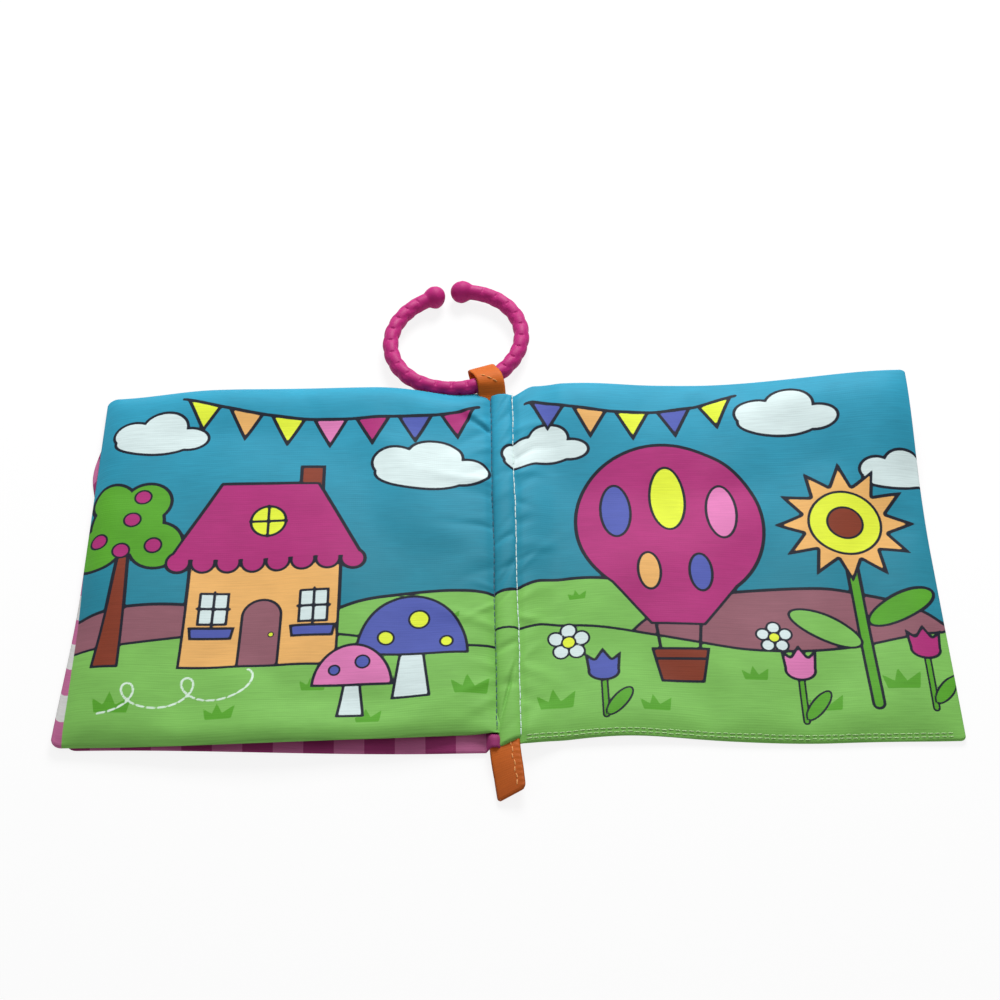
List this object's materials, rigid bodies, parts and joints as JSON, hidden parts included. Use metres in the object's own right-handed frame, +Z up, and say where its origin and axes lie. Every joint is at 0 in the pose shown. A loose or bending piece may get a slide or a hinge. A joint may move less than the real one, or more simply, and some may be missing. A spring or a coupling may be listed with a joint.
{
  "type": "soft cloth baby book",
  "caption": "Soft padded cloth baby book lying open, with hinged leaves at a stitched spine, a ribbon loop carrying an open clip-on ring, and a pull tab.",
  "frame": {"origin": "on the table, at the middle of the underside of the spine", "axes": "+X along the open spread to the reader's right, +Y from the reader's edge to the far edge, +Z up"},
  "size_m": [0.319, 0.2342, 0.0112],
  "materials": {
    "printed_cloth": "satin woven print",
    "gingham_cloth": "satin woven check",
    "wadding": "matte fibre fill",
    "crinkle_film": "thin clear film",
    "orange_ribbon": "satin grosgrain",
    "ring_plastic": "moulded, semi-gloss",
    "white_thread": "sewing thread",
    "dark_blue_thread": "sewing thread",
    "green_thread": "sewing thread",
    "orange_thread": "sewing thread"
  },
  "bodies": {
    "leaf_and_spine": {"middle_leaf_lower_panel": "gingham_cloth", "middle_leaf_crinkle_film": "crinkle_film", "middle_leaf_wadding": "wadding", "middle_leaf_upper_panel": "printed_cloth", "spine_outer_strip": "gingham_cloth", "spine_wadding": "wadding", "spine_inner_strip": "printed_cloth", "spine_white_stitching": "white_thread", "crease_stitching": "dark_blue_thread", "ring_loop_tail": "orange_ribbon", "pull_tab_tail": "orange_ribbon"},
    "front_cover": {"front_cover_outer_panel": "gingham_cloth", "front_cover_crinkle_film": "crinkle_film", "front_cover_wadding": "wadding", "front_cover_inner_panel": "gingham_cloth"},
    "back_cover": {"back_cover_outer_panel": "gingham_cloth", "back_cover_crinkle_film": "crinkle_film", "back_cover_wadding": "wadding", "back_cover_inner_panel": "printed_cloth", "back_cover_hem_stitching": "green_thread"},
    "ring_loop": {"ring_loop": "orange_ribbon"},
    "ring": {"toy_link_ring": "ring_plastic"},
    "pull_tab": {"pull_tab": "orange_ribbon", "pull_tab_stitching": "orange_thread"}
  },
  "joints": [
    {"name": "front_cover_hinge", "type": "hinge", "parent": "leaf_and_spine", "child": "front_cover", "pos_m": [-0.00435, 0, -0.00015], "axis": [0, -1, 0], "range_deg": [0, 172]},
    {"name": "back_cover_hinge", "type": "hinge", "parent": "leaf_and_spine", "child": "back_cover", "pos_m": [0.00435, 0, 0.0058], "axis": [0, -1, 0], "range_deg": [0, 170]},
    {"name": "ring_loop_hinge", "type": "hinge", "parent": "leaf_and_spine", "child": "ring_loop", "pos_m": [-0.0032, 0.07722, 0.00375], "axis": [1, 0, 0], "range_deg": [-50, 50]},
    {"name": "ring_turn", "type": "hinge", "parent": "ring_loop", "child": "ring", "pos_m": [-0.01748, 0.10641, 0.0045], "axis": [0, 0, 1], "range_deg": [-115, 130]},
    {"name": "pull_tab_hinge", "type": "hinge", "parent": "leaf_and_spine", "child": "pull_tab", "pos_m": [-0.001, -0.0775, 0.00375], "axis": [-1, 0, 0], "range_deg": [-45, 80]}
  ]
}
